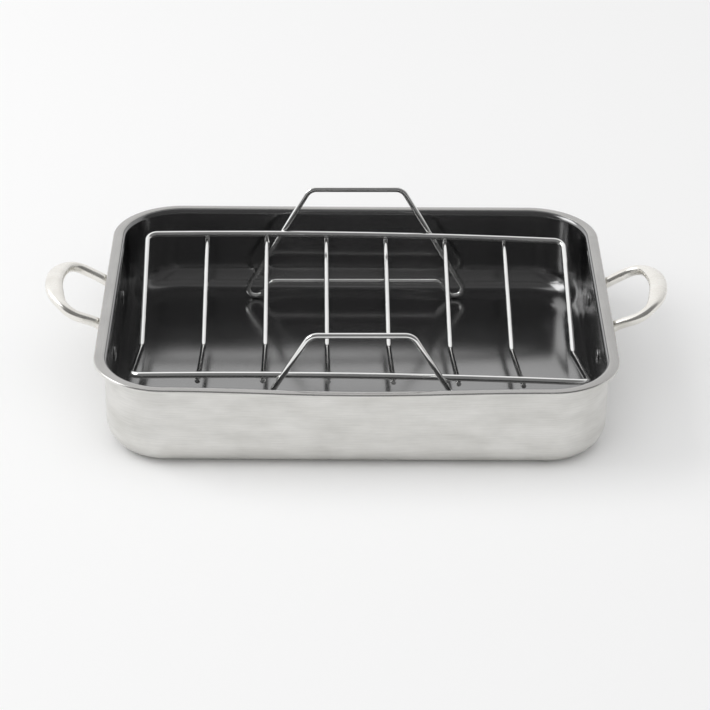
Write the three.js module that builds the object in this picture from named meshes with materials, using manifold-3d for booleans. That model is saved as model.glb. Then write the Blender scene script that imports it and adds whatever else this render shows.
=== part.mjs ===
// A drawn steel roasting pan with a nonstick lining, two riveted loop handles
// and a V-shaped wire rack that stands loose inside and lifts out.
// Millimetres, +Z up, +X along the pan. The origin is on the table under the middle of the pan.
import * as THREE from "three";
import { mergeVertices } from "three/addons/utils/BufferGeometryUtils.js";
import Module from "manifold-3d";

// Clearance left between any two pieces that touch in the real object.
const FIT_GAP = 0.3;

// Pan: sizes over the lip, the two layers of its wall, and the lip's bend, dome and edge.
// The lip overhangs the ends further than the long sides.
const PAN_LENGTH = 406;
const PAN_WIDTH = 330;
const PAN_HEIGHT = 72.5;
const CORNER_RADIUS = 56.5;
const BASE_RADIUS = 22;
const STEEL = 1.5;
const LINING = 0.7;
const LIP_OVERHANG = 8.3;
const SIDE_OVERHANG = 6;
const LIP_BEND = 2;
const LIP_DOME = 0.7;
const LIP_EDGE = 1;
// How far below the crest of the lip's bend the lining stops, which leaves the lip bare.
const LINING_EDGE = 0.5;
// The long sides spring outward and sag a little at the rim after drawing.
const SIDE_BULGE = 2.8;
const SIDE_SAG = 1.5;

// Handles: a flat riveted pad at each end, narrow legs under the lip and a broad raised crown.
// Reaches are from the lip's edge, and spreads from the middle of the handle to each side of it:
// at the legs under the lip, and at the bow where the loop is widest. It broadens past its shoulders.
const HANDLE_REACH = 46.4;
const HANDLE_THICKNESS = 8;
const CROWN_WIDTH = 14.3;
const CROWN_OVER_RIM = 13.4;
const LEG_WIDTH = 8.2;
const LEG_SPREAD = 38.1;
const LEG_UNDER_LIP = 4.2;
const BOW_REACH = 19.5;
const BOW_SPREAD = 40.3;
const SHOULDER_REACH = 28.8;
const PAD_WIDTH = 19;
const PAD_THICKNESS = 4;
const SECTION_SOFTNESS = 0.83;

// Rivets: one through each pad, a little below the middle of the upright wall.
const RIVET_SPREAD = 48.5;
const RIVET_BELOW_MIDDLE = 3;
const RIVET_SHANK = 5;
const RIVET_HEAD = 12;
const RIVET_HEAD_RISE = 1.8;
const RIVET_TAIL = 9;
const RIVET_TAIL_RISE = 1.2;

// Rack: wire diameters, the ring whose ends dip to a V, and the cross wires welded under its rails.
const RING_WIRE = 5;
const CROSS_WIRE = 4.2;
const LOOP_WIRE = 4.4;
const RACK_END_SPACE = 16.5;
const V_OVER_FLOOR = 16.2;
const V_DEPTH = 42;
const V_BEND = 14;
const RING_CORNER = 8;
const CROSS_COUNT = 6;
const CROSS_OVERRUN = 0.7;
// The rails bow upward in the middle and run slightly downhill to the right.
const RAIL_CROWN = 2.8;
const RAIL_TILT = 0.018;
// The rack was set down a little off the middle of the pan and turned, by an angle in radians.
const RACK_SHIFT_X = 1.7;
const RACK_SHIFT_Y = 1.5;
const RACK_TURN = 0.0112;

// Rack loops: one wire each, a grip above the rail and two turned-in feet joined by a raised bar.
// The inset is from the edge of the pan's flat floor to the feet, and the rise is in radians.
const LOOP_TOP_OVER_RAIL = 41.5;
const LOOP_TOP_WIDTH = 77.8;
const LOOP_FOOT_WIDTH = 193;
const LOOP_LEAN = 0.0555;
const LOOP_BEND = 10;
const FOOT_INSET = 9.3;
const FOOT_FLAT = 0.5;
const FOOT_BEND = 6.5;
const FOOT_RISE = 0.87;
const BAR_OVER_FOOT = 13.2;

// Fineness of the faceted surfaces.
const ARC_STEPS = 5;
const LIP_STEPS = 3;
const CORNER_STEPS = 8;
const SIDE_STEPS = 8;
const WIRE_SIDES = 10;
const RAIL_STEPS = 6;
const SECTION_SIDES = 14;
const CROWN_STEPS = 6;
const HANDLE_STEPS = 16;
const ROUND_SIDES = 16;
const WELD_TOLERANCE = 1e-4;

// Where things lie: the wall and floor, the flat wall ends, the lip's bend and how far round it
// the lining and the bare steel go, and the rivets.
const wall = STEEL + FIT_GAP + LINING;
const floorTop = wall;
const wallFace = PAN_LENGTH / 2 - LIP_OVERHANG;
const baseInset = LIP_OVERHANG + BASE_RADIUS;
const lipInset = LIP_OVERHANG - LIP_BEND;
const lipUnder = PAN_HEIGHT - wall;
const lipHeight = lipUnder - LIP_BEND;
const crestReach = LIP_BEND + wall;
const bareTurn = Math.asin(1 - LINING_EDGE / crestReach);
const liningTurn = bareTurn - FIT_GAP / (LIP_BEND + STEEL + FIT_GAP);
const middleHeight = (BASE_RADIUS + lipHeight) / 2;
const rivetHeight = middleHeight - RIVET_BELOW_MIDDLE;

const QUARTER = Math.PI / 2;
const V2 = (x, y) => new THREE.Vector2(x, y);
const V3 = (x, y, z) => new THREE.Vector3(x, y, z);

const STEEL_BRUSHED = { color: 0xb9b8b5, roughness: 0.38, metalness: 1 };
const STEEL_POLISHED = { color: 0xd2cfca, roughness: 0.2, metalness: 1 };
const CHROME_WIRE = { color: 0xd6d6d4, roughness: 0.15, metalness: 1 };
const COATING_BLACK = { color: 0x1d1d1e, roughness: 0.3, metalness: 0.2 };

function mesh(name, geometry, look) {
  const made = new THREE.Mesh(geometry, new THREE.MeshStandardMaterial(look));
  made.name = name;
  return made;
}

// A closed surface through rings of equal point count.
// A looped row of rings closes on itself, and any other is capped at both ends.
function skin(rings, looped) {
  const count = rings[0].length;
  const points = rings.flat();
  const faces = [];
  const bands = looped ? rings.length : rings.length - 1;
  for (let band = 0; band < bands; band++) {
    const low = band * count;
    const high = ((band + 1) % rings.length) * count;
    for (let side = 0; side < count; side++) {
      const next = (side + 1) % count;
      faces.push(low + side, low + next, high + next);
      faces.push(low + side, high + next, high + side);
    }
  }
  const cap = (ring, start, forward) => {
    const middle = ring.reduce((sum, p) => sum.add(p), V3(0, 0, 0)).divideScalar(count);
    const centre = points.push(middle) - 1;
    for (let side = 0; side < count; side++) {
      const next = (side + 1) % count;
      faces.push(centre, start + (forward ? side : next), start + (forward ? next : side));
    }
  };
  if (!looped) {
    cap(rings[0], 0, false);
    cap(rings[rings.length - 1], (rings.length - 1) * count, true);
  }
  const geometry = new THREE.BufferGeometry().setFromPoints(points);
  geometry.setIndex(faces);
  geometry.computeVertexNormals();
  return geometry;
}

const wasm = await Module();
wasm.setup();

function toSolid(geometry) {
  const bare = geometry.clone();
  bare.deleteAttribute("normal");
  bare.deleteAttribute("uv");
  const merged = mergeVertices(bare, WELD_TOLERANCE);
  return new wasm.Manifold(
    new wasm.Mesh({
      numProp: 3,
      vertProperties: new Float32Array(merged.attributes.position.array),
      triVerts: new Uint32Array(merged.index.array),
    }),
  );
}

// A geometry with its rivet holes drilled through it along X, at the given ends of the pan.
function drilled(geometry, ends) {
  const radius = RIVET_SHANK / 2 + FIT_GAP;
  const depth = 4 * (wall + PAD_THICKNESS);
  let solid = toSolid(geometry);
  for (const end of ends) {
    for (const side of [-1, 1]) {
      const bore = new THREE.CylinderGeometry(radius, radius, depth, ROUND_SIDES);
      bore.rotateZ(QUARTER);
      bore.translate(end * wallFace, side * RIVET_SPREAD, rivetHeight);
      solid = solid.subtract(toSolid(bore));
    }
  }
  const cut = solid.getMesh();
  const made = new THREE.BufferGeometry();
  made.setAttribute("position", new THREE.BufferAttribute(cut.vertProperties, cut.numProp));
  made.setIndex(new THREE.BufferAttribute(cut.triVerts, 1));
  made.computeVertexNormals();
  return made;
}

// Outline of the pan seen from above: where each point is measured from, and which way is out.
const cornerX = PAN_LENGTH / 2 - CORNER_RADIUS;
const cornerY = PAN_WIDTH / 2 - SIDE_BULGE - CORNER_RADIUS;
const outline = [];
for (let corner = 0; corner < 4; corner++) {
  const start = corner * QUARTER;
  const signX = corner === 0 || corner === 3 ? 1 : -1;
  const signY = corner < 2 ? 1 : -1;
  for (let step = 0; step <= CORNER_STEPS; step++) {
    const angle = start + (QUARTER * step) / CORNER_STEPS;
    const out = V2(Math.cos(angle), Math.sin(angle));
    outline.push({ from: V2(signX * cornerX, signY * cornerY), out });
  }
  if (signX * signY > 0) {
    for (let step = 1; step < SIDE_STEPS; step++) {
      const along = signX * cornerX * (1 - (2 * step) / SIDE_STEPS);
      outline.push({ from: V2(along, signY * cornerY), out: V2(0, signY) });
    }
  }
}

// The ring of the pan at one inset from the lip's outline at the ends, and one height.
// All within the narrower lip of the long sides lies further out there, and the long sides
// swell and sag towards their middle, more so the higher up.
function panRing(inset, height) {
  const further = (LIP_OVERHANG - SIDE_OVERHANG) * Math.min(inset / lipInset, 1);
  return outline.map(({ from, out }) => {
    const reach = CORNER_RADIUS - inset;
    const swell = (1 + Math.cos(Math.PI * Math.min(Math.abs(from.x) / cornerX, 1))) / 2;
    const share = (swell * height) / PAN_HEIGHT;
    const x = from.x + out.x * reach;
    const y = from.y + out.y * (reach + further + SIDE_BULGE * share);
    return V3(x, y, height - SIDE_SAG * share);
  });
}

// The drawn sheet in section, at an offset inward from its outer face:
// round the base, up the wall and round the lip's bend by an angle.
function formed(offset, lipTurn) {
  const path = [];
  const baseReach = BASE_RADIUS - offset;
  const lipReach = LIP_BEND + offset;
  for (let step = 0; step <= ARC_STEPS; step++) {
    const angle = (QUARTER * step) / ARC_STEPS;
    const inset = baseInset - baseReach * Math.sin(angle);
    path.push(V2(inset, BASE_RADIUS - baseReach * Math.cos(angle)));
  }
  path.push(V2(LIP_OVERHANG + offset, middleHeight));
  for (let step = 0; step <= ARC_STEPS; step++) {
    const angle = (lipTurn * step) / ARC_STEPS;
    const inset = lipInset + lipReach * Math.cos(angle);
    path.push(V2(inset, lipHeight + lipReach * Math.sin(angle)));
  }
  return path;
}

// The bare lip, ironed thin towards its rounded outer edge: its underside rises to the edge,
// and its top rises gently from there to its crest and goes over into the bend.
function lipSection() {
  const path = [];
  const edge = LIP_EDGE / 2;
  const edgeHeight = PAN_HEIGHT - LIP_DOME - edge;
  for (let step = 0; step <= ARC_STEPS; step++) {
    const angle = -QUARTER + (Math.PI * step) / ARC_STEPS;
    path.push(V2(edge - edge * Math.cos(angle), edgeHeight + edge * Math.sin(angle)));
  }
  for (let step = 1; step <= LIP_STEPS; step++) {
    const across = step / LIP_STEPS;
    const drop = LIP_DOME * (1 - across) ** 2;
    path.push(V2(edge + (lipInset - edge) * across, PAN_HEIGHT - drop));
  }
  for (let step = 1; step <= LIP_STEPS; step++) {
    const angle = QUARTER + ((bareTurn - QUARTER) * step) / LIP_STEPS;
    const inset = lipInset + crestReach * Math.cos(angle);
    path.push(V2(inset, lipHeight + crestReach * Math.sin(angle)));
  }
  return path;
}

function panSkin(section) {
  return drilled(skin(section.map((p) => panRing(p.x, p.y))), [-1, 1]);
}

const pan = new THREE.Group();
pan.name = "pan";
const shellSection = [
  ...formed(0, QUARTER),
  ...lipSection(),
  ...formed(STEEL, bareTurn).reverse(),
];
pan.add(mesh("pan_shell", panSkin(shellSection), STEEL_BRUSHED));
const liningSection = [
  ...formed(STEEL + FIT_GAP, liningTurn),
  ...formed(wall, liningTurn).reverse(),
];
pan.add(mesh("nonstick_lining", panSkin(liningSection), COATING_BLACK));

// The handle's centre line: up from a rivet against the wall, out under the lip to the bow, round
// the crown in a half ellipse and back to the other rivet. It rises evenly as it reaches out.
const padX = wallFace + FIT_GAP + PAD_THICKNESS / 2;
const rimX = PAN_LENGTH / 2;
const crownReach = HANDLE_REACH - CROWN_WIDTH / 2;
const legHeight = lipUnder - LEG_UNDER_LIP - HANDLE_THICKNESS / 2;
const crownRise = PAN_HEIGHT + CROWN_OVER_RIM - HANDLE_THICKNESS / 2 - legHeight;
const rivetSeat = V3(padX, RIVET_SPREAD, rivetHeight);
const padTop = V3(padX, (RIVET_SPREAD + LEG_SPREAD) / 2, rivetHeight + PAD_WIDTH / 2);
const station = (reach, spread) =>
  V3(rimX + reach, spread, legHeight + (crownRise * reach) / crownReach);
const oneSide = [rivetSeat, padTop, station(0, LEG_SPREAD)];
for (let step = 0; step < CROWN_STEPS; step++) {
  const angle = (QUARTER * step) / CROWN_STEPS;
  const reach = BOW_REACH + (crownReach - BOW_REACH) * Math.sin(angle);
  oneSide.push(station(reach, BOW_SPREAD * Math.cos(angle)));
}
const otherSide = oneSide.map((p) => V3(p.x, -p.y, p.z)).reverse();
const handlePath = new THREE.CatmullRomCurve3([...oneSide, station(crownReach, 0), ...otherSide]);

// One cross-section of the handle: a softened rectangle whose face turns from the wall to straight up.
function handleRing(at, along, width) {
  const out = THREE.MathUtils.smoothstep(at.x, padX, rimX);
  const face = V3(-1, 0, 0).lerp(V3(0, 0, 1), out);
  const across = V3().crossVectors(face, along).normalize();
  const up = V3().crossVectors(along, across).normalize();
  const thickness = PAD_THICKNESS + (HANDLE_THICKNESS - PAD_THICKNESS) * out;
  const soften = (v) => Math.sign(v) * Math.abs(v) ** SECTION_SOFTNESS;
  const ring = [];
  for (let side = 0; side < SECTION_SIDES; side++) {
    const angle = (2 * Math.PI * side) / SECTION_SIDES;
    const point = at.clone();
    point.addScaledVector(across, (width / 2) * soften(Math.cos(angle)));
    point.addScaledVector(up, (thickness / 2) * soften(Math.sin(angle)));
    ring.push(point);
  }
  return ring;
}

// The handle's cross-sections from one pad to the other:
// a round pad end, flat against the wall, a leg that narrows and a crown that broadens.
function handleSkin() {
  const ease = THREE.MathUtils.smoothstep;
  const half = [];
  for (let step = 1; step < ARC_STEPS; step++) {
    const angle = (QUARTER * step) / ARC_STEPS;
    const at = rivetSeat.clone().setZ(rivetHeight - (PAD_WIDTH / 2) * Math.cos(angle));
    half.push({ at, along: V3(0, 0, 1), width: PAD_WIDTH * Math.sin(angle) });
  }
  for (let step = 0; step <= HANDLE_STEPS; step++) {
    const share = step / (2 * HANDLE_STEPS);
    const at = handlePath.getPointAt(share);
    at.x = Math.max(at.x, padX);
    const along = handlePath.getTangentAt(share);
    const narrowing = (LEG_WIDTH - PAD_WIDTH) * ease(at.z, rivetHeight, legHeight);
    const out = ease(at.x, rimX + SHOULDER_REACH, rimX + crownReach);
    const broadening = (CROWN_WIDTH - LEG_WIDTH) * out;
    half.push({ at, along, width: PAD_WIDTH + narrowing + broadening });
  }
  half[half.length - 1].along.set(0, -1, 0);
  const mirrored = half.slice(0, -1).reverse();
  const rings = [
    ...half.map(({ at, along, width }) => handleRing(at, along, width)),
    ...mirrored.map(({ at, along, width }) =>
      handleRing(V3(at.x, -at.y, at.z), V3(-along.x, along.y, -along.z), width),
    ),
  ];
  return drilled(skin(rings), [1]);
}

// A rivet turned about its axis: a broad low head inside the pan, the shank,
// and a smaller closed head outside the pad.
function rivet() {
  const grip = wall + FIT_GAP + PAD_THICKNESS;
  const half = grip / 2 + FIT_GAP;
  const profile = [];
  const dome = (radius, rise, end) => {
    const arc = [];
    for (let step = 0; step <= ARC_STEPS; step++) {
      const angle = (QUARTER * step) / ARC_STEPS;
      arc.push(V2(radius * Math.sin(angle), end * (half + rise * Math.cos(angle))));
    }
    return arc;
  };
  profile.push(...dome(RIVET_HEAD / 2, RIVET_HEAD_RISE, -1));
  profile.push(V2(RIVET_SHANK / 2, -half));
  profile.push(V2(RIVET_SHANK / 2, half));
  profile.push(...dome(RIVET_TAIL / 2, RIVET_TAIL_RISE, 1).reverse());
  const turned = new THREE.LatheGeometry(profile, ROUND_SIDES);
  turned.rotateZ(-QUARTER);
  turned.translate(wallFace - wall + grip / 2, 0, rivetHeight);
  return turned;
}

for (const [end, turn] of [["right", 0], ["left", Math.PI]]) {
  const side = new THREE.Group();
  side.rotation.z = turn;
  side.add(mesh(`handle_${end}`, handleSkin(), STEEL_POLISHED));
  for (const [place, sign] of [["a", 1], ["b", -1]]) {
    const made = mesh(`rivet_${end}_${place}`, rivet(), COATING_BLACK);
    made.position.y = sign * RIVET_SPREAD;
    side.add(made);
  }
  pan.add(side);
}

// A wire's centre line: straight runs between corners, each corner rounded to its bend radius.
function bent(corners, closed) {
  const path = [];
  corners.forEach(({ at, bend }, index) => {
    const last = corners.length - 1;
    const isEnd = !closed && (index === 0 || index === last);
    if (isEnd || !bend) {
      path.push(at);
      return;
    }
    const before = corners[index === 0 ? last : index - 1].at.clone().sub(at).normalize();
    const after = corners[index === last ? 0 : index + 1].at.clone().sub(at).normalize();
    const opening = before.angleTo(after);
    const centre = before.clone().add(after).normalize();
    centre.multiplyScalar(bend / Math.sin(opening / 2)).add(at);
    const start = at.clone().addScaledVector(before, bend / Math.tan(opening / 2)).sub(centre);
    const axis = V3().crossVectors(after, before).normalize();
    for (let step = 0; step <= ARC_STEPS; step++) {
      const turn = ((Math.PI - opening) * step) / ARC_STEPS;
      path.push(start.clone().applyAxisAngle(axis, turn).add(centre));
    }
  });
  return path;
}

// A round wire along a centre line, its section carried along without twisting.
function wire(path, diameter, closed) {
  const count = path.length;
  const along = path.map((at, index) => {
    const before = path[closed ? (index + count - 1) % count : Math.max(index - 1, 0)];
    const after = path[closed ? (index + 1) % count : Math.min(index + 1, count - 1)];
    return after.clone().sub(before).normalize();
  });
  let across = V3(0, 1, 1).cross(along[0]).normalize();
  const frames = along.map((way) => {
    across = across.clone().addScaledVector(way, -across.dot(way)).normalize();
    return across;
  });
  const [first, last] = [frames[0], frames[count - 1]];
  const home = last.clone().addScaledVector(along[0], -last.dot(along[0]));
  const error = Math.atan2(home.clone().cross(first).dot(along[0]), home.dot(first));
  const twist = closed ? error : 0;
  const rings = path.map((at, index) => {
    const one = frames[index].clone().applyAxisAngle(along[index], (twist * index) / count);
    const two = V3().crossVectors(along[index], one);
    const ring = [];
    for (let side = 0; side < WIRE_SIDES; side++) {
      const angle = (2 * Math.PI * side) / WIRE_SIDES;
      const point = at.clone().addScaledVector(one, (diameter / 2) * Math.cos(angle));
      ring.push(point.addScaledVector(two, (diameter / 2) * Math.sin(angle)));
    }
    return ring;
  });
  return skin(rings, closed);
}

const rack = new THREE.Group();
rack.name = "rack";
rack.position.set(RACK_SHIFT_X, RACK_SHIFT_Y, 0);
rack.rotation.z = RACK_TURN;

// Where the rack's wires run. The feet stand just inside the edge of the flat floor, the loops
// lean outward from there, and the rails lie against the inside of the loops.
const halfLength = wallFace - wall - RACK_END_SPACE;
const valleyZ = floorTop + V_OVER_FLOOR;
const railZ = valleyZ + V_DEPTH;
const footZ = floorTop + FIT_GAP + LOOP_WIRE / 2;
const loopGap = RING_WIRE / 2 + LOOP_WIRE / 2 + FIT_GAP;
const footY = PAN_WIDTH / 2 - SIDE_BULGE - SIDE_OVERHANG - BASE_RADIUS - FOOT_INSET;
const loopY = (z) => footY + LOOP_LEAN * (z - footZ);
const railY = loopY(railZ) - loopGap;
const lift = (x) => RAIL_CROWN * (1 - (x / halfLength) ** 2) - RAIL_TILT * x;

// The ring: two long rails joined by V-shaped ends, one closed wire.
const ringCorners = [];
for (const side of [1, -1]) {
  for (let step = 0; step <= RAIL_STEPS; step++) {
    const x = side * halfLength * ((2 * step) / RAIL_STEPS - 1);
    const isCorner = step === 0 || step === RAIL_STEPS;
    const at = V3(x, side * railY, railZ + lift(x));
    ringCorners.push({ at, bend: isCorner ? RING_CORNER : 0 });
  }
  const endX = side * halfLength;
  ringCorners.push({ at: V3(endX, 0, valleyZ + lift(endX)), bend: V_BEND });
}
rack.add(mesh("rack_ring", wire(bent(ringCorners, true), RING_WIRE, true), CHROME_WIRE));

// Cross wires: a V each, from under one rail down and up under the other, cut just past the rails.
const weldDrop = RING_WIRE / 2 + CROSS_WIRE / 2 + FIT_GAP;
const slope = Math.atan2(V_DEPTH, railY) - Math.asin(weldDrop / Math.hypot(V_DEPTH, railY));
const tipY = railY + CROSS_OVERRUN;
const crossPitch = (2 * halfLength) / (CROSS_COUNT + 1);
for (let index = 0; index < CROSS_COUNT; index++) {
  const x = (index - (CROSS_COUNT - 1) / 2) * crossPitch;
  const low = valleyZ + lift(x);
  const tip = (side) => V3(x, side * tipY, low + tipY * Math.tan(slope));
  const corners = [{ at: tip(-1) }, { at: V3(x, 0, low), bend: V_BEND }, { at: tip(1) }];
  const path = bent(corners, false);
  rack.add(mesh(`cross_wire_${index + 1}`, wire(path, CROSS_WIRE, false), CHROME_WIRE));
}

// Loops: one closed wire each, in the leaning plane just outside its rail.
// The foot's corners stand apart by its flat and by what the two bends beside the flat take up.
const topZ = railZ + LOOP_TOP_OVER_RAIL;
const legAngle = Math.atan2(topZ - footZ, (LOOP_FOOT_WIDTH - LOOP_TOP_WIDTH) / 2);
const outerTake = FOOT_BEND / Math.tan(legAngle / 2);
const innerTake = FOOT_BEND * Math.tan(FOOT_RISE / 2);
const innerX = LOOP_FOOT_WIDTH / 2 - outerTake - FOOT_FLAT - innerTake;
const barX = innerX - BAR_OVER_FOOT / Math.tan(FOOT_RISE);
const loopHalf = [
  { x: LOOP_TOP_WIDTH / 2, z: topZ, bend: LOOP_BEND },
  { x: LOOP_FOOT_WIDTH / 2, z: footZ, bend: FOOT_BEND },
  { x: innerX, z: footZ, bend: FOOT_BEND },
  { x: barX, z: footZ + BAR_OVER_FOOT, bend: FOOT_BEND },
];
for (const [place, side] of [["back", 1], ["front", -1]]) {
  const stand = (x, z, bend) => ({ at: V3(x, side * loopY(z), z), bend });
  const right = loopHalf.map(({ x, z, bend }) => stand(x, z, bend));
  const left = loopHalf.map(({ x, z, bend }) => stand(-x, z, bend)).reverse();
  const path = bent([...right, ...left], true);
  rack.add(mesh(`rack_loop_${place}`, wire(path, LOOP_WIRE, true), CHROME_WIRE));
}

const group = new THREE.Group();
group.name = "roasting_pan_with_rack";
group.add(pan, rack);

export default group;
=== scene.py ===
import math

import bmesh
import bpy
from mathutils import Matrix, Vector


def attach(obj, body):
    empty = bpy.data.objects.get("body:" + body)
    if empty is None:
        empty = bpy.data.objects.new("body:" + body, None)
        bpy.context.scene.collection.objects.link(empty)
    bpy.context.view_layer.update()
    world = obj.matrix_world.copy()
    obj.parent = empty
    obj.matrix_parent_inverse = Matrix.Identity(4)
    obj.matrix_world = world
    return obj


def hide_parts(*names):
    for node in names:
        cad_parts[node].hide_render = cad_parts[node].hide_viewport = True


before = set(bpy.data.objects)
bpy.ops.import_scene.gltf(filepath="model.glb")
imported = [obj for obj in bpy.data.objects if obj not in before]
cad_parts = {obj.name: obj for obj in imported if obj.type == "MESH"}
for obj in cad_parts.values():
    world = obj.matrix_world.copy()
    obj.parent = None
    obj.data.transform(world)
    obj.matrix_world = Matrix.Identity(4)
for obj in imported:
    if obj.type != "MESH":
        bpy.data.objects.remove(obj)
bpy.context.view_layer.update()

# PAN
# One stainless steel sheet, deep drawn to round corners and a round base. Its rim is turned
# outward to a lip with a rolled edge, narrower along the sides. The outside is brushed along
# the walls, and the long sides have sprung out and sagged a little.
MM = 0.001
FIT_GAP = 0.3
PAN_LENGTH = 406
PAN_WIDTH = 330
PAN_HEIGHT = 72.5
CORNER_RADIUS = 56.5
BASE_RADIUS = 22
STEEL = 1.5
LINING = 0.7
LIP_OVERHANG = 8.3
SIDE_OVERHANG = 6
LIP_BEND = 2
LIP_DOME = 0.4
LIP_EDGE = 0.8
LIP_ROLL = 1.4
LIP_BURR = 0.2
LINING_EDGE = 0.5
SIDE_BULGE = 2.8
SIDE_SAG = 1.5
CORNER_STEPS = 28
LONG_STEPS = 40
END_STEPS = 20
BASE_STEPS = 14
LIP_STEPS = 10
WALL_STEPS = 8
FLOOR_MARGINS = (22, 3)

wall = STEEL + FIT_GAP + LINING
wall_face = PAN_LENGTH / 2 - LIP_OVERHANG
corner_x = PAN_LENGTH / 2 - CORNER_RADIUS
corner_y = PAN_WIDTH / 2 - SIDE_BULGE - CORNER_RADIUS
base_inset = LIP_OVERHANG + BASE_RADIUS
lip_inset = LIP_OVERHANG - LIP_BEND
lip_under = PAN_HEIGHT - wall
lip_height = lip_under - LIP_BEND
crest_reach = LIP_BEND + wall
bare_turn = math.asin(1 - LINING_EDGE / crest_reach)
lining_turn = bare_turn - FIT_GAP / (LIP_BEND + STEEL + FIT_GAP)


def pan_outline():
    """Points round the pan from above: where each is measured from, and which way is out."""
    places = []
    for corner in range(4):
        sign_x = 1 if corner in (0, 3) else -1
        sign_y = 1 if corner < 2 else -1
        for step in range(CORNER_STEPS + 1):
            angle = (corner + step / CORNER_STEPS) * math.pi / 2
            out = (math.cos(angle), math.sin(angle))
            places.append((sign_x * corner_x, sign_y * corner_y, *out))
        long_side = sign_x * sign_y > 0
        steps = LONG_STEPS if long_side else END_STEPS
        for step in range(1, steps):
            share = 1 - 2 * step / steps
            if long_side:
                places.append((sign_x * corner_x * share, sign_y * corner_y, 0, sign_y))
            else:
                places.append((sign_x * corner_x, sign_y * corner_y * share, sign_x, 0))
    return places


outline = pan_outline()


def pan_ring(inset, height):
    """The ring of the pan at one inset from the lip's edge at the ends, and one height."""
    reach = CORNER_RADIUS - inset
    further = (LIP_OVERHANG - SIDE_OVERHANG) * min(inset / lip_inset, 1)
    ring = []
    for from_x, from_y, out_x, out_y in outline:
        swell = (1 + math.cos(math.pi * min(abs(from_x) / corner_x, 1))) / 2
        share = swell * height / PAN_HEIGHT
        y = from_y + out_y * (reach + further + SIDE_BULGE * share)
        ring.append(Vector((from_x + out_x * reach, y, height - SIDE_SAG * share)))
    return ring


def formed_section(offset, lip_turn):
    """The drawn sheet in section at an offset from its outer face: floor, base, wall, lip bend."""
    base_reach = BASE_RADIUS - offset
    lip_reach = LIP_BEND + offset
    path = [(base_inset + margin, offset) for margin in FLOOR_MARGINS]
    for step in range(BASE_STEPS + 1):
        angle = math.pi / 2 * step / BASE_STEPS
        inset = base_inset - base_reach * math.sin(angle)
        path.append((inset, BASE_RADIUS - base_reach * math.cos(angle)))
    for step in range(1, WALL_STEPS):
        height = BASE_RADIUS + (lip_height - BASE_RADIUS) * step / WALL_STEPS
        path.append((LIP_OVERHANG + offset, height))
    for step in range(LIP_STEPS + 1):
        angle = lip_turn * step / LIP_STEPS
        inset = lip_inset + lip_reach * math.cos(angle)
        path.append((inset, lip_height + lip_reach * math.sin(angle)))
    return path


def lip_section():
    """The bare lip: its upright outer edge, rolled over to a domed top, up to the bend."""
    edge_height = PAN_HEIGHT - LIP_DOME - LIP_ROLL
    path = []
    for step in range(LIP_STEPS + 1):
        angle = -math.pi / 2 + math.pi * step / LIP_STEPS
        rolled_over = step >= LIP_STEPS / 2
        turn = LIP_ROLL if rolled_over else LIP_BURR
        centre = edge_height if rolled_over else edge_height - LIP_EDGE
        path.append((turn - turn * math.cos(angle), centre + turn * math.sin(angle)))
    for step in range(1, LIP_STEPS + 1):
        across = step / LIP_STEPS
        drop = LIP_DOME * (1 - across) ** 2
        path.append((LIP_ROLL + (lip_inset - LIP_ROLL) * across, PAN_HEIGHT - drop))
    for step in range(1, LIP_STEPS + 1):
        angle = math.pi / 2 + (bare_turn - math.pi / 2) * step / LIP_STEPS
        inset = lip_inset + crest_reach * math.cos(angle)
        path.append((inset, lip_height + crest_reach * math.sin(angle)))
    return path


def section_run(path):
    """The length of a section's path, taken as a mean round the pan."""
    rings = [pan_ring(*place) for place in path]
    steps = [(b - a).length for ring, above in zip(rings, rings[1:])
             for a, b in zip(ring, above)]
    return sum(steps) / len(outline)


# The wall's finish turns to the lip's between these runs, on the rolled part of the edge:
# smoother, with a darker tint that is painted shade.
outer_section = [*formed_section(0, math.pi / 2), *lip_section()]
edge_start = len(outer_section) - 3 * LIP_STEPS
lip_run = [section_run(outer_section[:edge_start + far]) for far in (LIP_STEPS // 2, LIP_STEPS)]


def new_piece(name, data):
    """A new object in the scene, at the origin."""
    piece = bpy.data.objects.new(name, data)
    bpy.context.scene.collection.objects.link(piece)
    return piece


def lofted(name, rings):
    """A closed smooth skin through rings of points in mm, capped at both ends.
    Its UV map runs round each ring and from ring to ring, in metres."""
    made = bmesh.new()
    uv = made.loops.layers.uv.new("run")
    rows = [[made.verts.new(point * MM) for point in ring] for ring in rings]
    count = len(rings[0])
    widest = max(rings, key=lambda ring: max(point.length for point in ring))
    round_run = [0.0]
    for side in range(count):
        round_run.append(round_run[-1] + (widest[(side + 1) % count] - widest[side]).length * MM)
    up_run = 0.0
    for low, high, ring, above in zip(rows, rows[1:], rings, rings[1:]):
        rise = sum((b - a).length for a, b in zip(ring, above)) / count * MM
        for side in range(count):
            after = (side + 1) % count
            face = made.faces.new((low[side], low[after], high[after], high[side]))
            here, there = round_run[side], round_run[side + 1]
            corners = ((here, 0), (there, 0), (there, rise), (here, rise))
            for loop, (u, v) in zip(face.loops, corners):
                loop[uv].uv = (u, up_run + v)
        up_run += rise
    for cap in (made.faces.new(rows[0][::-1]), made.faces.new(rows[-1])):
        for loop in cap.loops:
            loop[uv].uv = loop.vert.co.xy
    mesh = bpy.data.meshes.new(name)
    made.to_mesh(mesh)
    made.free()
    mesh.shade_smooth()
    return new_piece(name, mesh)


def colour(code):
    """An sRGB hex code as linear RGBA."""
    parts = [int(code[place:place + 2], 16) / 255 for place in (1, 3, 5)]
    return (*(p / 12.92 if p <= 0.04045 else ((p + 0.055) / 1.055) ** 2.4 for p in parts), 1)


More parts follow.
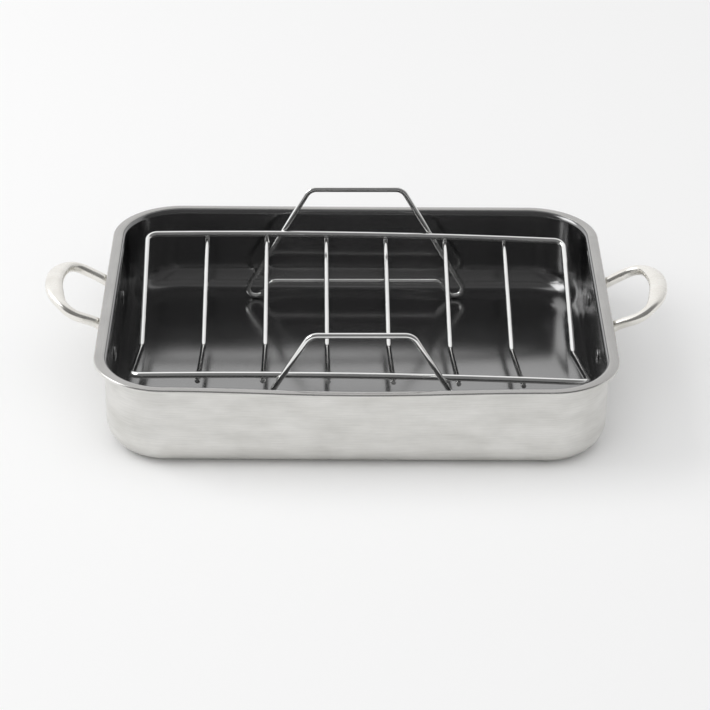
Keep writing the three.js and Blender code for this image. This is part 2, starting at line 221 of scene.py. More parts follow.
def add_node(tree, kind, inputs=None, stops=(), **settings):
    """Adds a node with its settings, a colour ramp's stops, and then its inputs.
    Each input is a value, or the socket that feeds it."""
    node = tree.nodes.new(kind)
    for name, value in settings.items():
        setattr(node, name, value)
    for index, (position, code) in enumerate(stops):
        node.color_ramp.elements[index].position = position
        node.color_ramp.elements[index].color = colour(code)
    for name, value in (inputs or {}).items():
        if isinstance(value, bpy.types.NodeSocket):
            tree.links.new(value, node.inputs[name])
        else:
            node.inputs[name].default_value = value
    return node


def new_material(name):
    """An empty material and its node tree."""
    material = bpy.data.materials.new(name)
    material.use_nodes = True
    material.node_tree.nodes.clear()
    return material, material.node_tree


# Brushed austenitic stainless: fine lines along the walls stretch each reflection upward, and
# cloudy smears from handling lie over them. The lip is smoother, as it was rolled, and tinted
# darker as painted shade on the same steel.
BRUSH_LINE = (25, 0.8, 1)
CLOUD = (34, 15, 1)
LINE_SHARE = 0.35
LIP_SMOOTHNESS = 0.65

brushed_steel, tree = new_material("brushed_stainless_steel")
run = add_node(tree, "ShaderNodeUVMap", uv_map="run").outputs["UV"]
line_place = add_node(tree, "ShaderNodeMapping",
                      {"Vector": run, "Scale": [1 / (size * MM) for size in BRUSH_LINE]})
lines = add_node(tree, "ShaderNodeTexNoise",
                 {"Vector": line_place.outputs[0], "Scale": 1, "Detail": 3}).outputs["Fac"]
cloud_place = add_node(tree, "ShaderNodeMapping",
                       {"Vector": run, "Scale": [1 / (size * MM) for size in CLOUD]})
clouds = add_node(tree, "ShaderNodeTexNoise",
                  {"Vector": cloud_place.outputs[0], "Scale": 1, "Detail": 6}).outputs["Fac"]
smears = add_node(tree, "ShaderNodeMix", {"Factor": LINE_SHARE, 2: clouds, 3: lines}).outputs[0]
wall_tint = add_node(tree, "ShaderNodeValToRGB", {"Fac": smears},
                     stops=((0.35, "#d1d0cc"), (0.65, "#e5e4e1"))).outputs["Color"]
# The lip's darker tint is painted shade: it is the same steel as the walls.
lip_painted_shade_tint = add_node(tree, "ShaderNodeValToRGB", {"Fac": smears},
                    stops=((0.35, "#adacaa"), (0.65, "#b7b6b4"))).outputs["Color"]
up_run = add_node(tree, "ShaderNodeSeparateXYZ", {0: run}).outputs["Y"]
on_lip = add_node(tree, "ShaderNodeMapRange",
                  {"Value": up_run, "From Min": lip_run[0] * MM,
                   "From Max": lip_run[1] * MM}).outputs[0]
tint = add_node(tree, "ShaderNodeMixRGB",
                {"Fac": on_lip, "Color1": wall_tint, "Color2": lip_painted_shade_tint})
grain = add_node(tree, "ShaderNodeMapRange",
                 {"Value": lines, "From Min": 0.25, "From Max": 0.75,
                  "To Min": 0.28, "To Max": 0.36})
rolled = add_node(tree, "ShaderNodeMapRange",
                  {"Value": on_lip, "To Min": 1, "To Max": LIP_SMOOTHNESS})
satin = add_node(tree, "ShaderNodeMath", {0: grain.outputs[0], 1: rolled.outputs[0]},
                 operation="MULTIPLY")
scratch = add_node(tree, "ShaderNodeBump",
                   {"Height": lines, "Strength": 0.1, "Distance": 0.05 * MM})
grain_way = add_node(tree, "ShaderNodeTangent", direction_type="UV_MAP", uv_map="run")
steel = add_node(tree, "ShaderNodeBsdfPrincipled",
                 {"Base Color": tint.outputs[0], "Metallic": 1, "Roughness": satin.outputs[0],
                  "Anisotropic": 0.7, "Anisotropic Rotation": 0.25,
                  "Normal": scratch.outputs[0], "Tangent": grain_way.outputs[0]})
add_node(tree, "ShaderNodeOutputMaterial", {"Surface": steel.outputs[0]})

shell_section = [*outer_section, *reversed(formed_section(STEEL, bare_turn))]
shell = lofted("steel_pan", [pan_ring(*place) for place in shell_section])
shell.data.materials.append(brushed_steel)
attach(shell, "pan")
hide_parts("pan_shell")

# NONSTICK LINING
# A sprayed and baked nonstick coating over the whole inside of the pan, up to the inner edge of
# the bare lip. It is black, smooth and glossy.

# Nonstick coating: a black undercoat under a clear glossy top, with a faint orange peel from
# the spraying and uneven gloss where it was wiped.
ORANGE_PEEL = 1.5
WIPE_MARK = 45

coating, tree = new_material("glossy_nonstick_coating")
place = add_node(tree, "ShaderNodeTexCoord").outputs["Object"]
peel = add_node(tree, "ShaderNodeTexNoise",
                {"Vector": place, "Scale": 1 / (ORANGE_PEEL * MM), "Detail": 1}).outputs["Fac"]
wipes = add_node(tree, "ShaderNodeTexNoise",
                 {"Vector": place, "Scale": 1 / (WIPE_MARK * MM), "Detail": 3}).outputs["Fac"]
black = add_node(tree, "ShaderNodeValToRGB", {"Fac": wipes},
                 stops=((0.3, "#0b0b0c"), (0.7, "#111112")))
gloss = add_node(tree, "ShaderNodeMapRange",
                 {"Value": wipes, "From Min": 0.3, "From Max": 0.7,
                  "To Min": 0.13, "To Max": 0.18})
ripple = add_node(tree, "ShaderNodeBump",
                  {"Height": peel, "Strength": 0.03, "Distance": 0.02 * MM})
coat = add_node(tree, "ShaderNodeBsdfPrincipled",
                {"Base Color": black.outputs["Color"], "Roughness": gloss.outputs[0], "IOR": 2.1,
                 "Normal": ripple.outputs[0],
                 "Coat Weight": 1, "Coat IOR": 2.0, "Coat Roughness": 0.15})
add_node(tree, "ShaderNodeOutputMaterial", {"Surface": coat.outputs[0]})

lining_section = [*formed_section(STEEL + FIT_GAP, lining_turn),
                  *reversed(formed_section(wall, lining_turn))]
lining = lofted("nonstick_coating", [pan_ring(*place) for place in lining_section])
lining.data.materials.append(coating)
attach(lining, "pan")
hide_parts("nonstick_lining")

# HANDLES
# Two loops cast in stainless steel and polished. Each has a flat pad at either end that lies
# against the wall, narrow legs that pass under the lip and a broad crown raised over the rim.
HANDLE_REACH = 46.4
HANDLE_THICKNESS = 8
CROWN_WIDTH = 14.3
CROWN_OVER_RIM = 13.4
LEG_WIDTH = 8.2
LEG_SPREAD = 38.1
LEG_UNDER_LIP = 4.2
BOW_REACH = 19.5
BOW_SPREAD = 40.3
SHOULDER_REACH = 28.8
PAD_WIDTH = 19
PAD_THICKNESS = 4
SECTION_SOFTNESS = 0.83
RIVET_SPREAD = 48.5
RIVET_BELOW_MIDDLE = 3
PAD_STEPS = 12
CROWN_STEPS = 6
CURVE_STEPS = 60
HANDLE_STEPS = 140
SECTION_SIDES = 40

rivet_height = (BASE_RADIUS + lip_height) / 2 - RIVET_BELOW_MIDDLE
pad_x = wall_face + FIT_GAP + PAD_THICKNESS / 2
rim_x = PAN_LENGTH / 2
crown_reach = HANDLE_REACH - CROWN_WIDTH / 2
leg_height = lip_under - LEG_UNDER_LIP - HANDLE_THICKNESS / 2
crown_rise = PAN_HEIGHT + CROWN_OVER_RIM - HANDLE_THICKNESS / 2 - leg_height


def smooth_path(points, count):
    """Evenly spaced places and directions on a centripetal Catmull-Rom curve through points."""
    ends = [2 * points[0] - points[1], *points, 2 * points[-1] - points[-2]]
    dense = []
    for before, start, end, after in zip(ends, ends[1:], ends[2:], ends[3:]):
        first, middle, last = (math.sqrt((b - a).length) for a, b in
                               ((before, start), (start, end), (end, after)))
        leave = ((start - before) / first - (end - before) / (first + middle)
                 + (end - start) / middle) * middle
        arrive = ((end - start) / middle - (after - start) / (middle + last)
                  + (after - end) / last) * middle
        for step in range(CURVE_STEPS):
            t = step / CURVE_STEPS
            dense.append(start + leave * t + (3 * (end - start) - 2 * leave - arrive) * t ** 2
                         + (2 * (start - end) + leave + arrive) * t ** 3)
    dense.append(points[-1])
    lengths = [0.0]
    for a, b in zip(dense, dense[1:]):
        lengths.append(lengths[-1] + (b - a).length)
    places = []
    index = 0
    for step in range(count + 1):
        goal = lengths[-1] * step / count
        while index < len(dense) - 2 and lengths[index + 1] < goal:
            index += 1
        share = (goal - lengths[index]) / (lengths[index + 1] - lengths[index])
        low, high = max(index - 1, 0), min(index + 2, len(dense) - 1)
        along = (dense[high] - dense[low]).normalized()
        places.append((dense[index].lerp(dense[index + 1], share), along))
    return places


def ease(value, low, high):
    """A smooth step from 0 at low to 1 at high."""
    share = min(max((value - low) / (high - low), 0), 1)
    return share * share * (3 - 2 * share)


def handle_section(at, along, width):
    """A softened rectangle whose face turns from the wall to straight up."""
    out = ease(at.x, pad_x, rim_x)
    across = Vector((-1, 0, 0)).lerp(Vector((0, 0, 1)), out).cross(along).normalized()
    up = along.cross(across).normalized()
    thickness = PAD_THICKNESS + (HANDLE_THICKNESS - PAD_THICKNESS) * out
    ring = []
    for side in range(SECTION_SIDES):
        angle = 2 * math.pi * side / SECTION_SIDES
        sideways, upward = (math.copysign(abs(part) ** SECTION_SOFTNESS, part)
                            for part in (math.cos(angle), math.sin(angle)))
        ring.append(at + across * (width / 2 * sideways) + up * (thickness / 2 * upward))
    return ring


def station(reach, spread):
    """A place on the handle's centre line, which rises evenly as it reaches out."""
    return Vector((rim_x + reach, spread, leg_height + crown_rise * reach / crown_reach))


def handle_rings():
    """The handle's cross-sections from one pad to the other, on the right end of the pan."""
    seat = Vector((pad_x, RIVET_SPREAD, rivet_height))
    pad_top = Vector((pad_x, (RIVET_SPREAD + LEG_SPREAD) / 2, rivet_height + PAD_WIDTH / 2))
    one_side = [seat, pad_top, station(0, LEG_SPREAD)]
    for step in range(CROWN_STEPS):
        angle = math.pi / 2 * step / CROWN_STEPS
        reach = BOW_REACH + (crown_reach - BOW_REACH) * math.sin(angle)
        one_side.append(station(reach, BOW_SPREAD * math.cos(angle)))
    other_side = [Vector((at.x, -at.y, at.z)) for at in reversed(one_side)]
    pad_end = []
    for step in range(1, PAD_STEPS):
        angle = math.pi / 2 * step / PAD_STEPS
        at = seat - Vector((0, 0, PAD_WIDTH / 2 * math.cos(angle)))
        pad_end.append((at, Vector((0, 0, 1)), PAD_WIDTH * math.sin(angle)))
    loop = []
    for at, along in smooth_path([*one_side, station(crown_reach, 0), *other_side], HANDLE_STEPS):
        at.x = max(at.x, pad_x)
        narrowing = (LEG_WIDTH - PAD_WIDTH) * ease(at.z, rivet_height, leg_height)
        out = ease(at.x, rim_x + SHOULDER_REACH, rim_x + crown_reach)
        loop.append((at, along, PAD_WIDTH + narrowing + (CROWN_WIDTH - LEG_WIDTH) * out))
    far_end = [(Vector((at.x, -at.y, at.z)), -along, width)
               for at, along, width in reversed(pad_end)]
    return [handle_section(*place) for place in pad_end + loop + far_end]


# Polished cast stainless: a soft mirror with a faint ripple left from the mould.
CAST_RIPPLE = 14

polished_steel, tree = new_material("polished_cast_steel")
place = add_node(tree, "ShaderNodeTexCoord").outputs["Object"]
cast = add_node(tree, "ShaderNodeTexNoise",
                {"Vector": place, "Scale": 1 / (CAST_RIPPLE * MM), "Detail": 3}).outputs["Fac"]
cast_tint = add_node(tree, "ShaderNodeValToRGB", {"Fac": cast},
                     stops=((0.3, "#eae7e1"), (0.7, "#f3f1ec")))
wear = add_node(tree, "ShaderNodeMapRange",
                {"Value": cast, "From Min": 0.3, "From Max": 0.7, "To Min": 0.22, "To Max": 0.3})
waves = add_node(tree, "ShaderNodeBump",
                 {"Height": cast, "Strength": 0.05, "Distance": 0.2 * MM})
polish = add_node(tree, "ShaderNodeBsdfPrincipled",
                  {"Base Color": cast_tint.outputs["Color"], "Metallic": 1,
                   "Roughness": wear.outputs[0], "Normal": waves.outputs[0]})
add_node(tree, "ShaderNodeOutputMaterial", {"Surface": polish.outputs[0]})

for end, turn in (("right", 0), ("left", math.pi)):
    handle = lofted(f"cast_handle_{end}", handle_rings())
    handle.data.transform(Matrix.Rotation(turn, 4, "Z"))
    handle.data.materials.append(polished_steel)
    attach(handle, "pan")
    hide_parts(f"handle_{end}")

# RIVETS
# Steel rivets through the wall and each pad, with broad low heads inside that are sprayed over
# with the lining, and smaller closed heads outside.
RIVET_SHANK = 5
RIVET_HEAD = 12
RIVET_HEAD_RISE = 1.8
RIVET_TAIL = 9
RIVET_TAIL_RISE = 1.2
RIVET_SIDES = 32
DOME_STEPS = 10

grip = wall + FIT_GAP + PAD_THICKNESS


def turned_rivet():
    """One rivet about the X axis, its head towards -X."""
    half = grip / 2 + FIT_GAP
    profile = []
    for step in range(1, DOME_STEPS + 1):
        angle = math.pi / 2 * step / DOME_STEPS
        head = -half - RIVET_HEAD_RISE * math.cos(angle)
        profile.append((RIVET_HEAD / 2 * math.sin(angle), head))
    profile += [(RIVET_SHANK / 2, -half), (RIVET_SHANK / 2, half)]
    for step in range(DOME_STEPS, 0, -1):
        angle = math.pi / 2 * step / DOME_STEPS
        tail = half + RIVET_TAIL_RISE * math.cos(angle)
        profile.append((RIVET_TAIL / 2 * math.sin(angle), tail))
    turns = [2 * math.pi * side / RIVET_SIDES for side in range(RIVET_SIDES)]
    rings = []
    for radius, along in profile:
        rings.append([Vector((along, radius * math.cos(turn), radius * math.sin(turn)))
                      for turn in turns])
    return lofted("coated_rivets", rings)


def new_tree(name, sizes):
    """A geometry tree that takes a mesh, the named sizes and a material, and gives a mesh."""
    tree = bpy.data.node_groups.new(name, "GeometryNodeTree")
    face = tree.interface
    face.new_socket("Geometry", in_out="INPUT", socket_type="NodeSocketGeometry")
    for size, kind in sizes.items():
        face.new_socket(size, in_out="INPUT", socket_type=kind)
    face.new_socket("Material", in_out="INPUT", socket_type="NodeSocketMaterial")
    face.new_socket("Geometry", in_out="OUTPUT", socket_type="NodeSocketGeometry")
    return tree, tree.nodes.new("NodeGroupInput").outputs


def end_tree(tree, shape, material):
    """Ends a geometry tree: its instances made real, all in one material."""
    real = add_node(tree, "GeometryNodeRealizeInstances", {"Geometry": shape})
    dressed = add_node(tree, "GeometryNodeSetMaterial",
                       {"Geometry": real.outputs[0], "Material": material})
    add_node(tree, "NodeGroupOutput", {0: dressed.outputs[0]})


def made_by(tree, piece, values):
    """Runs a geometry tree on a piece with the named values, and keeps the result as its mesh."""
    modifier = piece.modifiers.new(tree.name, "NODES")
    modifier.node_group = tree
    for socket in tree.interface.items_tree:
        if socket.in_out == "INPUT" and socket.name in values:
            modifier[socket.identifier] = values[socket.name]
    evaluated = piece.evaluated_get(bpy.context.evaluated_depsgraph_get())
    done = bpy.data.meshes.new_from_object(evaluated)
    piece.modifiers.remove(modifier)
    piece.data = done


rivet_tree, given = new_tree("rivets_at_four_pads", {
    "Seat Distance": "NodeSocketFloat", "Rivet Spread": "NodeSocketFloat",
    "Rivet Height": "NodeSocketFloat"})
across_pan = add_node(rivet_tree, "ShaderNodeMath", {0: given["Seat Distance"], 1: 2},
                      operation="MULTIPLY")
between = add_node(rivet_tree, "ShaderNodeMath", {0: given["Rivet Spread"], 1: 2},
                   operation="MULTIPLY")
seats = add_node(rivet_tree, "GeometryNodeMeshGrid",
                 {"Size X": across_pan.outputs[0], "Size Y": between.outputs[0],
                  "Vertices X": 2, "Vertices Y": 2})
level = add_node(rivet_tree, "ShaderNodeCombineXYZ", {"Z": given["Rivet Height"]})
raised = add_node(rivet_tree, "GeometryNodeTransform",
                  {"Geometry": seats.outputs["Mesh"], "Translation": level.outputs[0]})
seat_at = add_node(rivet_tree, "ShaderNodeSeparateXYZ",
                   {0: add_node(rivet_tree, "GeometryNodeInputPosition").outputs[0]})
on_left = add_node(rivet_tree, "ShaderNodeMath", {0: seat_at.outputs["X"], 1: 0},
                   operation="LESS_THAN")
half_turn = add_node(rivet_tree, "ShaderNodeMath", {0: on_left.outputs[0], 1: math.pi},
                     operation="MULTIPLY")
facing = add_node(rivet_tree, "ShaderNodeCombineXYZ", {"Z": half_turn.outputs[0]})
set_in = add_node(rivet_tree, "GeometryNodeInstanceOnPoints",
                  {"Points": raised.outputs[0], "Instance": given["Geometry"],
                   "Rotation": facing.outputs[0]})
end_tree(rivet_tree, set_in.outputs[0], given["Material"])

rivets = turned_rivet()
made_by(rivet_tree, rivets, {"Seat Distance": (wall_face - wall + grip / 2) * MM,
                             "Rivet Spread": RIVET_SPREAD * MM, "Rivet Height": rivet_height * MM,
                             "Material": coating})
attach(rivets, "pan")
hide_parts("rivet_right_a", "rivet_right_b", "rivet_left_a", "rivet_left_b")

# RACK RING
# One round steel wire bent to a ring, butt welded and bright plated: two long rails that bow up
# a little, joined by ends that dip to a V.
RING_WIRE = 5
CROSS_WIRE = 4.2
LOOP_WIRE = 4.4
RACK_END_SPACE = 16.5
V_OVER_FLOOR = 16.2
V_DEPTH = 42
V_BEND = 14
RING_CORNER = 8
RAIL_CROWN = 2.8
RAIL_TILT = 0.018
RACK_SHIFT = Vector((1.7, 1.5, 0))
RACK_TURN = 0.0112
LOOP_LEAN = 0.0555
FOOT_INSET = 9.3
RAIL_STEPS = 36
BEND_STEPS = 12
WIRE_SIDES = 20

half_length = wall_face - wall - RACK_END_SPACE
valley_z = wall + V_OVER_FLOOR
rail_z = valley_z + V_DEPTH
foot_z = wall + FIT_GAP + LOOP_WIRE / 2
loop_gap = RING_WIRE / 2 + LOOP_WIRE / 2 + FIT_GAP
foot_y = PAN_WIDTH / 2 - SIDE_BULGE - SIDE_OVERHANG - BASE_RADIUS - FOOT_INSET


def loop_y(z):
    """How far from the middle the leaning loops are at a height."""
    return foot_y + LOOP_LEAN * (z - foot_z)


rail_y = loop_y(rail_z) - loop_gap


def set_down(at):
    """A point of the rack in the place where the rack was set down in the pan."""
    return Matrix.Rotation(RACK_TURN, 3, "Z") @ at + RACK_SHIFT


def lift(x):
    """How far the rails stand above their level at a place along the rack."""
    return RAIL_CROWN * (1 - (x / half_length) ** 2) - RAIL_TILT * x


def bent(corners, closed):
    """A wire's centre line: straight between corners, each rounded to its bend radius."""
    path = []
    last = len(corners) - 1
    for index, (at, bend) in enumerate(corners):
        if not bend or (not closed and index in (0, last)):
            path.append(at)
            continue
        before = (corners[index - 1][0] - at).normalized()
        after = (corners[0 if index == last else index + 1][0] - at).normalized()
        opening = before.angle(after)
        centre = at + (before + after).normalized() * (bend / math.sin(opening / 2))
        start = at + before * (bend / math.tan(opening / 2)) - centre
        axis = after.cross(before).normalized()
        for step in range(BEND_STEPS + 1):
            turn = (math.pi - opening) * step / BEND_STEPS
            path.append(centre + Matrix.Rotation(turn, 3, axis) @ start)
    return path


wire_tree, given = new_tree("wire_along_path", {
    "Diameter": "NodeSocketFloat", "Sides": "NodeSocketInt"})
radius = add_node(wire_tree, "ShaderNodeMath", {0: given["Diameter"], 1: 0.5},
                  operation="MULTIPLY")
drawn = add_node(wire_tree, "GeometryNodeCurvePrimitiveCircle",
                 {"Radius": radius.outputs[0], "Resolution": given["Sides"]})
centre_line = add_node(wire_tree, "GeometryNodeMeshToCurve", {"Mesh": given["Geometry"]})
swept = add_node(wire_tree, "GeometryNodeCurveToMesh",
                 {"Curve": centre_line.outputs[0], "Profile Curve": drawn.outputs[0],
                  "Fill Caps": True})
end_tree(wire_tree, swept.outputs[0], given["Material"])

# Bright plated wire: a clean mirror, slightly hazed in places.
PLATING_HAZE = 25

bright_wire, tree = new_material("bright_plated_wire")
place = add_node(tree, "ShaderNodeTexCoord").outputs["Object"]
film = add_node(tree, "ShaderNodeTexNoise",
                {"Vector": place, "Scale": 1 / (PLATING_HAZE * MM), "Detail": 4}).outputs["Fac"]
plating_tint = add_node(tree, "ShaderNodeValToRGB", {"Fac": film},
                        stops=((0.3, "#ebebea"), (0.7, "#f4f4f3")))
haze = add_node(tree, "ShaderNodeMapRange",
                {"Value": film, "From Min": 0.3, "From Max": 0.7, "To Min": 0.06, "To Max": 0.12})
plated = add_node(tree, "ShaderNodeBsdfPrincipled",
                  {"Base Color": plating_tint.outputs["Color"], "Metallic": 1,
                   "Roughness": haze.outputs[0]})
add_node(tree, "ShaderNodeOutputMaterial", {"Surface": plated.outputs[0]})


def wires(name, paths, closed, diameter):
    """Round wires along centre lines in mm, in the place where the rack was set down."""
    points = [set_down(at) * MM for path in paths for at in path]
    edges = []
    start = 0
    for path in paths:
        count = len(path)
        edges += [(start + step, start + step + 1) for step in range(count - 1)]
        if closed:
            edges.append((start + count - 1, start))
        start += count
    mesh = bpy.data.meshes.new(name)
    mesh.from_pydata(points, edges, [])
    piece = new_piece(name, mesh)
    made_by(wire_tree, piece,
            {"Diameter": diameter * MM, "Sides": WIRE_SIDES, "Material": bright_wire})
    piece.data.shade_smooth()
    return piece


ring_corners = []
for side in (1, -1):
    for step in range(RAIL_STEPS + 1):
        x = side * half_length * (2 * step / RAIL_STEPS - 1)
        bend = RING_CORNER if step in (0, RAIL_STEPS) else 0
        ring_corners.append((Vector((x, side * rail_y, rail_z + lift(x))), bend))
    end_x = side * half_length
    ring_corners.append((Vector((end_x, 0, valley_z + lift(end_x))), V_BEND))
rack_ring = wires("rack_ring_wire", [bent(ring_corners, True)], True, RING_WIRE)
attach(rack_ring, "rack")
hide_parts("rack_ring")

# CROSS WIRES
# Six straight steel wires, thinner than the ring's, bent to a V and bright plated with it. They
# are welded under the two rails and cut off just past them.
CROSS_COUNT = 6
CROSS_OVERRUN = 0.7
CUT_BURR = 0.35

weld_drop = RING_WIRE / 2 + CROSS_WIRE / 2 + FIT_GAP
slope = math.atan2(V_DEPTH, rail_y) - math.asin(weld_drop / math.hypot(V_DEPTH, rail_y))
tip_y = rail_y + CROSS_OVERRUN
cross_pitch = 2 * half_length / (CROSS_COUNT + 1)
cross_paths = []
for index in range(CROSS_COUNT):
    x = (index - (CROSS_COUNT - 1) / 2) * cross_pitch
    low = valley_z + lift(x)
    tips = [Vector((x, side * tip_y, low + tip_y * math.tan(slope))) for side in (-1, 1)]
    cross_paths.append(bent([(tips[0], 0), (Vector((x, 0, low)), V_BEND), (tips[1], 0)], False))
cross_wires = wires("rack_cross_wires", cross_paths, False, CROSS_WIRE)
cut = bmesh.new()
cut.from_mesh(cross_wires.data)
cut_edges = {edge for face in cut.faces if len(face.verts) == WIRE_SIDES for edge in face.edges}
bmesh.ops.bevel(cut, geom=list(cut_edges), offset=CUT_BURR * MM, segments=2,
                profile=0.5, affect="EDGES")
cut.to_mesh(cross_wires.data)
cut.free()
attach(cross_wires, "rack")
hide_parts(*(f"cross_wire_{index + 1}" for index in range(CROSS_COUNT)))

# RACK LOOPS
# Two closed wires welded to the outside of the rails: a grip above, legs that spread downward,
# and turned-in feet joined by a bar that is raised off the floor.
LOOP_TOP_OVER_RAIL = 41.5
LOOP_TOP_WIDTH = 77.8
LOOP_FOOT_WIDTH = 193
LOOP_BEND = 10
FOOT_FLAT = 0.5
FOOT_BEND = 6.5
FOOT_RISE = 0.87
BAR_OVER_FOOT = 13.2

top_z = rail_z + LOOP_TOP_OVER_RAIL
leg_angle = math.atan2(top_z - foot_z, (LOOP_FOOT_WIDTH - LOOP_TOP_WIDTH) / 2)
outer_take = FOOT_BEND / math.tan(leg_angle / 2)
inner_take = FOOT_BEND * math.tan(FOOT_RISE / 2)
inner_x = LOOP_FOOT_WIDTH / 2 - outer_take - FOOT_FLAT - inner_take
bar_x = inner_x - BAR_OVER_FOOT / math.tan(FOOT_RISE)
loop_half = [(LOOP_TOP_WIDTH / 2, top_z, LOOP_BEND), (LOOP_FOOT_WIDTH / 2, foot_z, FOOT_BEND),
             (inner_x, foot_z, FOOT_BEND), (bar_x, foot_z + BAR_OVER_FOOT, FOOT_BEND)]
for place, side in (("back", 1), ("front", -1)):
    right = [(Vector((x, side * loop_y(z), z)), bend) for x, z, bend in loop_half]
    left = [(Vector((-x, side * loop_y(z), z)), bend) for x, z, bend in reversed(loop_half)]
    loop = wires(f"rack_loop_wire_{place}", [bent(right + left, True)], True, LOOP_WIRE)
    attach(loop, "rack")
    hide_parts(f"rack_loop_{place}")

# RACK WELDS
# The wires were spot welded where they touch: under the rails at each cross wire, and between
# the rails and the loops' legs. Each weld squeezed out a small bead, plated with the wires.
WELD_BEAD = 3.2
BEAD_SEGMENTS = 16
BEAD_RINGS = 10

weld_places = []
for path in cross_paths:
    for side, tip in ((-1, path[0]), (1, path[-1])):
        rail = Vector((tip.x, side * rail_y, rail_z + lift(tip.x)))
        weld_places.append(rail - Vector((0, 0, (RING_WIRE + FIT_GAP) / 2)))


def leg_x(z):
    """How far from the middle the loops' legs are at a height."""
    return LOOP_FOOT_WIDTH / 2 - (z - foot_z) / math.tan(leg_angle)


for side_x in (-1, 1):
    level = rail_z + lift(side_x * leg_x(rail_z))
    for side_y in (-1, 1):
        between = side_y * (rail_y + (RING_WIRE + FIT_GAP) / 2)
        weld_places.append(Vector((side_x * leg_x(level), between, level)))

weld_tree, given = new_tree("beads_at_welds", {"Diameter": "NodeSocketFloat"})
radius = add_node(weld_tree, "ShaderNodeMath", {0: given["Diameter"], 1: 0.5},
                  operation="MULTIPLY")
bead = add_node(weld_tree, "GeometryNodeMeshUVSphere",
                {"Segments": BEAD_SEGMENTS, "Rings": BEAD_RINGS, "Radius": radius.outputs[0]})
beads = add_node(weld_tree, "GeometryNodeInstanceOnPoints",
                 {"Points": given["Geometry"], "Instance": bead.outputs["Mesh"]})
end_tree(weld_tree, beads.outputs[0], given["Material"])

weld_mesh = bpy.data.meshes.new("rack_welds")
weld_mesh.from_pydata([set_down(at) * MM for at in weld_places], [], [])
welds = new_piece("rack_welds", weld_mesh)
made_by(weld_tree, welds, {"Diameter": WELD_BEAD * MM, "Material": bright_wire})
welds.data.shade_smooth()
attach(welds, "rack")

# STAGE
# A plain white floor in soft light: a fill from overhead, tilted to the front, and one large
# soft lamp on the left. Bright things show a white backdrop behind the pan and round its sides,
# and a dim room in front of it and overhead.
FLOOR_SIZE = 6.0
FILL_ROUND = 0.28
FILL_ABOVE = 1.14
FILL_FOCUS = 2
FILL_TILT = math.radians(19)
BACKDROP = 1.0
BACKDROP_WAY = (-0.1, 1, -0.5)
BACKDROP_EDGE = (-0.42, -0.2)
SIDE_FALL = 1.6
ROOM = 0.15
CEILING = 0.18
CEILING_EDGE = (0.3, 0.9)
LAMP_WIDTH = 2.2
LAMP_HEIGHT = 1.6
LAMP_POWER = 30
LAMP_PLACE = Vector((-2.4, 0.3, 1.95))

floor_mesh = bpy.data.meshes.new("floor")
edge = FLOOR_SIZE / 2
floor_corners = [(-edge, -edge, 0), (edge, -edge, 0), (edge, edge, 0), (-edge, edge, 0)]
floor_mesh.from_pydata(floor_corners, [], [(0, 1, 2, 3)])
floor = new_piece("floor", floor_mesh)
white_floor, tree = new_material("matt_white_board")
board = add_node(tree, "ShaderNodeBsdfDiffuse", {"Color": colour("#f7f7f7")})
add_node(tree, "ShaderNodeOutputMaterial", {"Surface": board.outputs[0]})
floor_mesh.materials.append(white_floor)

world = bpy.data.worlds.new("studio")
bpy.context.scene.world = world
world.use_nodes = True
tree = world.node_tree
tree.nodes.clear()
sky = add_node(tree, "ShaderNodeTexCoord").outputs["Generated"]
way = add_node(tree, "ShaderNodeSeparateXYZ", {0: sky})

# What mirrors show: the backdrop, whiter to the left, and the dim room past its edge.
depth = add_node(tree, "ShaderNodeVectorMath", {0: sky, 1: BACKDROP_WAY},
                 operation="DOT_PRODUCT")
behind = add_node(tree, "ShaderNodeMapRange",
                  {"Value": depth.outputs["Value"], "From Min": BACKDROP_EDGE[0],
                   "From Max": BACKDROP_EDGE[1], "To Max": BACKDROP})
leftward = add_node(tree, "ShaderNodeMath", {0: 0, 1: way.outputs["X"]}, operation="SUBTRACT")
to_left = add_node(tree, "ShaderNodeMath", {0: SIDE_FALL, 1: leftward.outputs[0]},
                   operation="POWER")
leaning = add_node(tree, "ShaderNodeMath", {0: behind.outputs[0], 1: to_left.outputs[0]},
                   operation="MULTIPLY")
white = add_node(tree, "ShaderNodeMath", {0: leaning.outputs[0], 1: BACKDROP},
                 operation="MINIMUM")
dim = add_node(tree, "ShaderNodeMapRange",
               {"Value": way.outputs["Z"], "From Min": CEILING_EDGE[0],
                "From Max": CEILING_EDGE[1], "To Min": ROOM, "To Max": CEILING})
picture = add_node(tree, "ShaderNodeMath", {0: white.outputs[0], 1: dim.outputs[0]},
                   operation="MAXIMUM")

# What lights the object: an even fill, stronger from overhead.
tilted_way = (0, -math.sin(FILL_TILT), math.cos(FILL_TILT))
height = add_node(tree, "ShaderNodeVectorMath", {0: sky, 1: tilted_way},
                  operation="DOT_PRODUCT")
above = add_node(tree, "ShaderNodeMapRange", {"Value": height.outputs["Value"]})
overhead = add_node(tree, "ShaderNodeMath", {0: above.outputs[0], 1: FILL_FOCUS},
                    operation="POWER")
fill = add_node(tree, "ShaderNodeMath", {0: overhead.outputs[0], 1: FILL_ABOVE, 2: FILL_ROUND},
                operation="MULTIPLY_ADD")

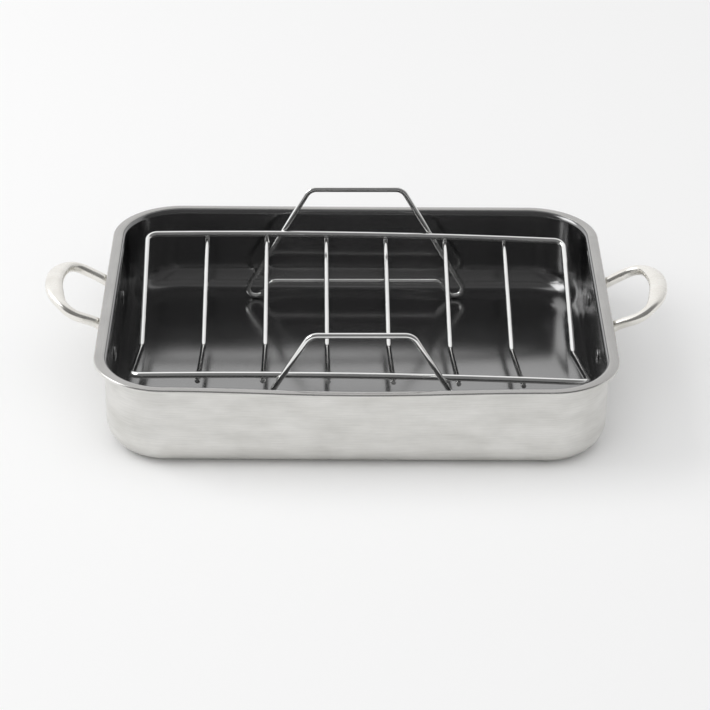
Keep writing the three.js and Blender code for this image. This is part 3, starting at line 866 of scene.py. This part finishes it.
# The picture is for rays that come straight or by mirrors from the camera, the fill for others.
ray = add_node(tree, "ShaderNodeLightPath").outputs
seen = add_node(tree, "ShaderNodeMath", {0: ray["Is Camera Ray"], 1: ray["Is Glossy Ray"]},
                operation="MAXIMUM")
through = add_node(tree, "ShaderNodeMath",
                   {0: seen.outputs[0], 1: ray["Is Transmission Ray"]}, operation="MAXIMUM")
direct = add_node(tree, "ShaderNodeMath", {0: ray["Diffuse Depth"], 1: 0.5},
                  operation="LESS_THAN")
mirrored = add_node(tree, "ShaderNodeMath", {0: through.outputs[0], 1: direct.outputs[0]},
                    operation="MULTIPLY")
shown = add_node(tree, "ShaderNodeMix",
                 {"Factor": mirrored.outputs[0], 2: fill.outputs[0], 3: picture.outputs[0]})
glow = add_node(tree, "ShaderNodeBackground",
                {"Color": (1, 1, 1, 1), "Strength": shown.outputs[0]})
add_node(tree, "ShaderNodeOutputWorld", {"Surface": glow.outputs[0]})

lamp = bpy.data.lights.new("window", "AREA")
lamp.shape = "RECTANGLE"
lamp.size = LAMP_WIDTH
lamp.size_y = LAMP_HEIGHT
lamp.energy = LAMP_POWER
window = new_piece("window", lamp)
window.location = LAMP_PLACE
window.rotation_euler = (-LAMP_PLACE).to_track_quat("-Z", "Y").to_euler()

# CAMERA
# A long lens in front of the pan and above it, level to within half a degree.
FOCAL_LENGTH = 141.93
ELEVATION = math.radians(28.576)
AZIMUTH = math.radians(-0.474)
ROLL = math.radians(0.535)
SENSOR = 36
DISTANCE = 2.2528
AIM_ASIDE = 0.00104
AIM_BELOW = 0.04872
RIM_LEVEL = 0.071

back = Vector((math.sin(AZIMUTH) * math.cos(ELEVATION),
               -math.cos(AZIMUTH) * math.cos(ELEVATION), math.sin(ELEVATION)))
level_right = Vector((math.cos(AZIMUTH), math.sin(AZIMUTH), 0))
level_up = back.cross(level_right)
right = level_right * math.cos(ROLL) + level_up * math.sin(ROLL)
up = level_up * math.cos(ROLL) - level_right * math.sin(ROLL)
aim = Vector((0, 0, RIM_LEVEL)) - right * AIM_ASIDE - up * AIM_BELOW
lens = bpy.data.cameras.new("camera")
lens.lens = FOCAL_LENGTH
lens.sensor_width = SENSOR
camera = new_piece("camera", lens)
turned = Matrix((right, up, back)).transposed().to_4x4()
camera.matrix_world = Matrix.Translation(aim + back * DISTANCE) @ turned
bpy.context.scene.camera = camera
bpy.context.scene.view_settings.view_transform = "Standard"

bpy.context.view_layer.update()
